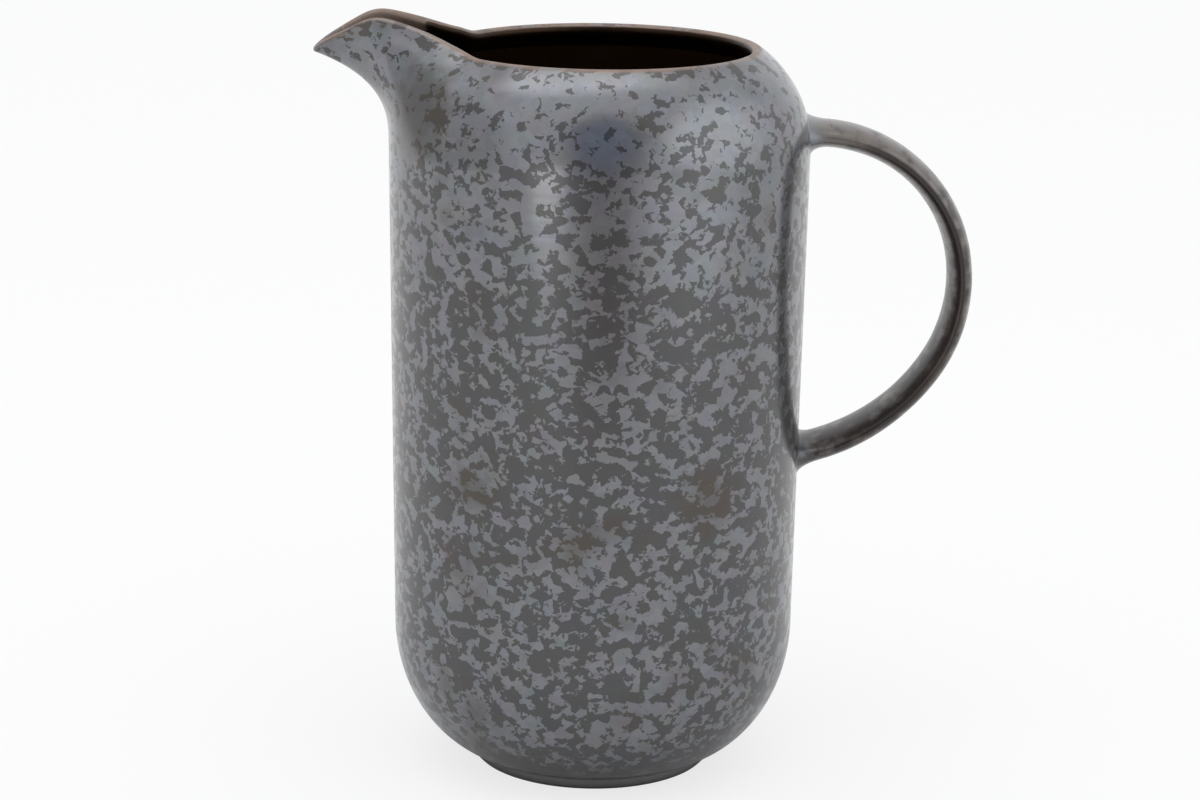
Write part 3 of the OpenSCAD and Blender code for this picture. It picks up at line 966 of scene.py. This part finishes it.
floor, tree, shader, where = plane("floor", FLOOR_SIZE, FLOOR_SIZE, (0, 0, 0), (0, 0, 1))
shader.inputs["Base Color"].default_value = FLOOR_GREY
shader.inputs["Roughness"].default_value = FLOOR_ROUGH
white = add(tree, "ShaderNodeEmission", Color=WHITE, Strength=1.0).outputs[0]
ray = add(tree, "ShaderNodeLightPath").outputs
mirrored = calc(tree, "MAXIMUM", ray["Is Glossy Ray"], ray["Is Transmission Ray"])
mirrored = calc(tree, "MULTIPLY", mirrored, ramp(tree, length(tree, where), *WHITE_FROM))
seen = calc(tree, "MAXIMUM", ray["Is Camera Ray"], mirrored)
show_mix(tree, calc(tree, "MULTIPLY", seen, WHITENESS), shader.outputs[0], white)
print("floor in metres:", FLOOR_SIZE, "by", FLOOR_SIZE)

# %% [markdown]
# A glossy jug shows the room around it. Oval sheets that are seen only in the gloss stand in for the
# photographer's room. The dark card in front gives the dark patch on the upper wall, the blue card
# before it tints its upper part, and the shade on the floor draws its tail. The bright strip gives
# the upright highlight beside the patch. The glow on the floor and the large sheets above, right
# and left shade the wall and the shoulder. A picture of a room could do it too, but sheets can be
# placed one by one.

# %% Sheets, world and light
FRONT, UP, DOWN = (0, 1, 0), (0, 0, 1), (0, 0, -1)
COOL, ROSE, DUSK = (0.93, 0.97, 1.0, 1), (1.0, 0.7, 0.7, 1), (1.0, 0.74, 0.72, 1)
BLUE = (0.06, 0.3, 1.0, 1)
WORLD_WHITE = (0.97, 0.98, 1.0, 1)
LAMP_PLACE, LAMP_AIM, LAMP_SIZE, LAMP_POWER = (-0.1, -0.35, 1.3), (0, 0, 0.1), (1.2, 0.7), 3
# Name, width, height, place, facing, colour, strength, and the share of the sheet that fades out.
GLOWS = (
    ("dark_card", 0.82, 1.75, (0.0, -0.72, 0.5), FRONT, ROSE, 0.02, 0.7),
    ("blue_card", 0.76, 1.15, (0.0, -0.7, 0.58), FRONT, BLUE, 0.22, 0.8),
    ("floor_shade", 0.56, 0.64, (0.02, -0.68, 0.002), UP, DUSK, 0.42, 0.7),
    ("floor_glow", 1.15, 1.15, (0.78, -0.66, 0.004), UP, COOL, 1.9, 0.7),
    ("bright_strip", 0.3, 0.36, (-0.35, -0.63, 0.09), (0.5, 1, 0), WHITE, 2.5, 0.6),
    ("overhead_glow", 1.7, 1.05, (-0.18, 0.05, 1.3), DOWN, WHITE, 2.3, 0.6),
    ("right_glow", 3.0, 2.5, (1.3, -0.8, 0.8), (-1, 0, 0), COOL, 2.1, 0.7),
    ("left_shade", 2.0, 1.8, (-1.2, 0.0, 0.45), (1, 0, 0), WHITE, 0.55, 0.4),
)


def glowing(name, width, height, place, facing, colour, strength, blur):
    """Oval that glows, fades out toward its rim and shows in the gloss alone."""
    piece, tree, shader, where = plane(name, width, height, place, facing)
    tree.nodes.remove(shader)
    off = length(tree, vector(tree, "MULTIPLY", where, (2 / width, 2 / height, 0)))
    light = add(tree, "ShaderNodeEmission", Color=colour, Strength=strength).outputs[0]
    clear = tree.nodes.new("ShaderNodeBsdfTransparent").outputs[0]
    show_mix(tree, ramp(tree, off, 1.0, 1 - blur), clear, light)
    piece.visible_camera = piece.visible_diffuse = piece.visible_shadow = False
    piece.visible_transmission = piece.visible_volume_scatter = False


for glow in GLOWS:
    glowing(*glow)

world = bpy.data.worlds.new("studio")
bpy.context.scene.world = world
world.use_nodes = True
world.node_tree.nodes["Background"].inputs["Color"].default_value = WORLD_WHITE
world.node_tree.nodes["Background"].inputs["Strength"].default_value = 1.0

light = bpy.data.lights.new("overhead", "AREA")
light.shape, light.energy = "RECTANGLE", LAMP_POWER
light.size, light.size_y = LAMP_SIZE
lamp = bpy.data.objects.new("overhead", light)
bpy.context.scene.collection.objects.link(lamp)
lamp.location = LAMP_PLACE
aim = Vector(LAMP_AIM) - Vector(LAMP_PLACE)
lamp.rotation_euler = aim.to_track_quat("-Z", "Y").to_euler()
lamp.visible_glossy = False
print("stage: floor, overhead light and sheets", [glow[0] for glow in GLOWS])

# %% [markdown]
# ## The camera
# The place of the camera was worked out from the outline of the jug in the photograph: about
# 0.9 metres away, 14.6 degrees above the horizon, and turned very slightly about its own axis.
# Placing it by eye would be quicker, but then no size could be measured with it.

# %% Camera
TARGET, DISTANCE = Vector((0, 0, 0.105)), 0.9
AROUND, RAISED, ROLL = math.radians(-2.7), math.radians(14.586), math.radians(0.835)
SENSOR, FOCAL_LENGTH, SHIFT = 36, 96.99, (0.00324, -0.0068)
level = math.cos(RAISED)
back = Vector((math.sin(AROUND) * level, -math.cos(AROUND) * level, math.sin(RAISED)))
lens = bpy.data.cameras.new("camera")
lens.sensor_width, lens.lens = SENSOR, FOCAL_LENGTH
lens.shift_x, lens.shift_y = SHIFT
camera = bpy.data.objects.new("camera", lens)
bpy.context.scene.collection.objects.link(camera)
camera.location = TARGET + back * DISTANCE
camera.rotation_mode = "QUATERNION"
camera.rotation_quaternion = (-back).to_track_quat("-Z", "Y") @ Quaternion((0, 0, 1), ROLL)
bpy.context.scene.camera = camera
bpy.context.scene.view_settings.view_transform = "Standard"
